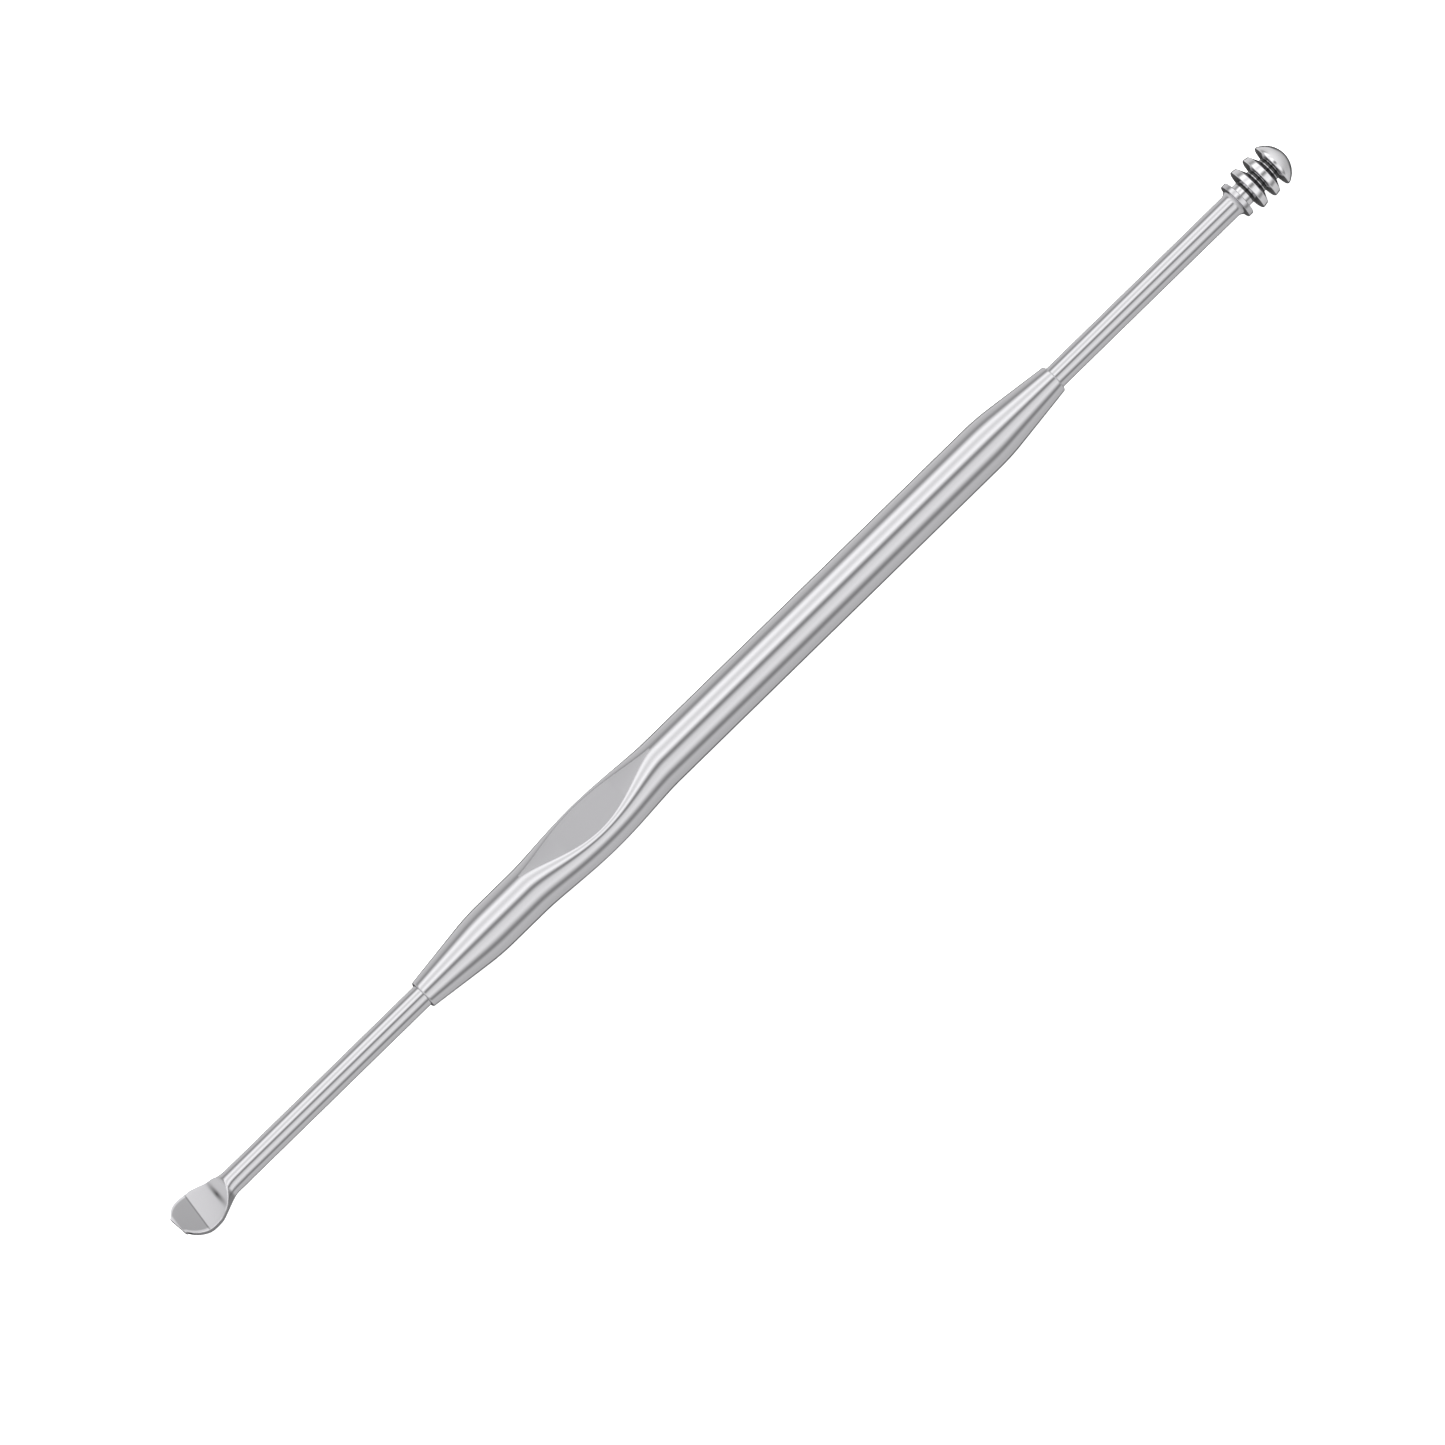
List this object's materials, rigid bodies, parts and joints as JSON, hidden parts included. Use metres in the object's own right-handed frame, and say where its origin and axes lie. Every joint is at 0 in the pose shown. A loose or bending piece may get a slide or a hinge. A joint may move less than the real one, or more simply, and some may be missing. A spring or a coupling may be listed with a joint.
{
  "type": "ear wax cleaner",
  "caption": "Slim double-ended steel ear cleaning tool: round handle with pressed thumb rests, a small upturned scoop at one end and a ringed head with a domed cap at the other.",
  "frame": {"origin": "middle of the tool's bounding box, on the handle's axis", "axes": "+X along the axis towards the ring head, +Z out of one thumb rest and out of the scoop's open side"},
  "size_m": [0.117, 0.0052, 0.004],
  "materials": {
    "handle_steel": "satin, with fine turning lines around the bar and a matte pressed thumb rest",
    "shank_steel": "polished satin, with fine lines around the wire",
    "ring_steel": "turned and bright polished"
  },
  "bodies": {
    "root": {"handle": "handle_steel", "scoop_shank": "shank_steel", "ring_shank": "shank_steel", "ring_head": "ring_steel"}
  },
  "joints": []
}
